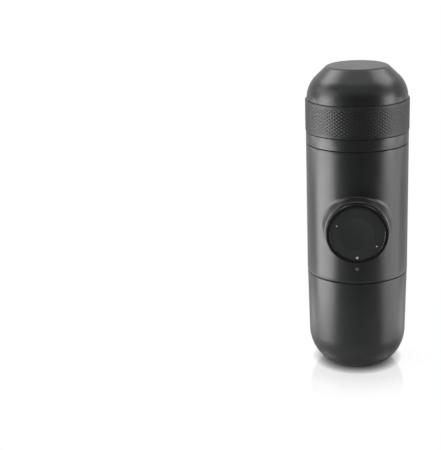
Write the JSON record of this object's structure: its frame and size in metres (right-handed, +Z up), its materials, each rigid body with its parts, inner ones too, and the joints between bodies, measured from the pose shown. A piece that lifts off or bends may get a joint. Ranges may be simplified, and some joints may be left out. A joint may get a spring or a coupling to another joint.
{
  "type": "handheld manual espresso maker",
  "caption": "Hand-pumped travel espresso maker: screwed-on water tank, pump body with a lockable side piston, outlet head with filter basket, and an inverted cup as its cap.",
  "frame": {"origin": "middle of the tank's flat foot, on the surface that the closed device stands on", "axes": "+Z up along the body's axis towards the flat top of the inverted cup, -Y towards the push button, +X to the right as the button is faced"},
  "size_m": [0.0584, 0.0687, 0.1765],
  "materials": {
    "shell": "satin charcoal, very fine moulded grain",
    "gloss": "polished black",
    "seal": "matt silicone",
    "steel": "fine brushed",
    "plating": "polished",
    "inner": "plain moulded",
    "mark": "printed white"
  },
  "bodies": {
    "tank": {"tank_shell": "shell"},
    "tank_ring": {"tank_seal": "seal"},
    "main": {"body_shell": "shell", "base_plate": "inner", "vent_valve": "seal", "inlet_valve": "seal", "outlet_valve": "seal", "frame_posts": "steel", "pump_block": "inner", "barrel": "steel", "barrel_seal": "seal", "piston_housing": "inner", "guide_bush": "gloss", "bezel_ring": "gloss", "block_screws": "steel", "group_plate": "inner", "shower_screen": "steel", "screen_screw": "steel", "group_seal": "seal", "head_socket": "inner", "mark_pip": "mark", "return_spring": "steel"},
    "plunger": {"plunger_rod": "steel", "plunger_seal": "seal", "rod_screw": "steel"},
    "button": {"button_cap": "shell", "button_rim": "gloss", "button_face": "shell", "piston_sleeve": "plating"},
    "head_ring": {"head_seal": "seal"},
    "basket": {"filter_basket": "steel"},
    "head": {"outlet_head": "shell", "head_collar": "gloss", "spout_nozzle": "gloss"},
    "cup_ring": {"cup_seal": "seal"},
    "cup": {"cup_shell": "shell", "cup_grip": "shell"}
  },
  "joints": [
    {"name": "tank_lift", "type": "slide", "parent": "tank", "child": "tank_ring", "axis": [0, 0, 1], "range_m": [0, 0.009]},
    {"name": "tank_turn", "type": "hinge", "parent": "tank_ring", "child": "main", "pos_m": [0, 0, 0.057], "axis": [0, 0, 1], "range_deg": [0, 541]},
    {"name": "piston_push", "type": "slide", "parent": "main", "child": "plunger", "axis": [0, -1, 0], "range_m": [0, 0.025], "deforming": ["return_spring"]},
    {"name": "piston_turn", "type": "hinge", "parent": "plunger", "child": "button", "pos_m": [0, 0, 0.0899], "axis": [0, -1, 0], "range_deg": [0, 35]},
    {"name": "head_lift", "type": "slide", "parent": "main", "child": "head_ring", "axis": [0, 0, 1], "range_m": [0, 0.009]},
    {"name": "head_turn", "type": "hinge", "parent": "head_ring", "child": "basket", "pos_m": [0, 0, 0.1336], "axis": [0, 0, 1], "range_deg": [0, 541]},
    {"name": "head_off", "type": "slide", "parent": "basket", "child": "head", "axis": [0, 0, 1], "range_m": [0, 0.022]},
    {"name": "cup_lift", "type": "slide", "parent": "head", "child": "cup_ring", "axis": [0, 0, 1], "range_m": [0, 0.045]},
    {"name": "cup_turn", "type": "hinge", "parent": "cup_ring", "child": "cup", "pos_m": [0, 0, 0.1334], "axis": [0, 0, -1], "range_deg": [0, 35]}
  ],
  "couplings": [
    {"joint": "tank_turn", "follows": "tank_lift", "rad_per_m": 1047.2},
    {"joint": "head_turn", "follows": "head_lift", "rad_per_m": 1047.2}
  ]
}
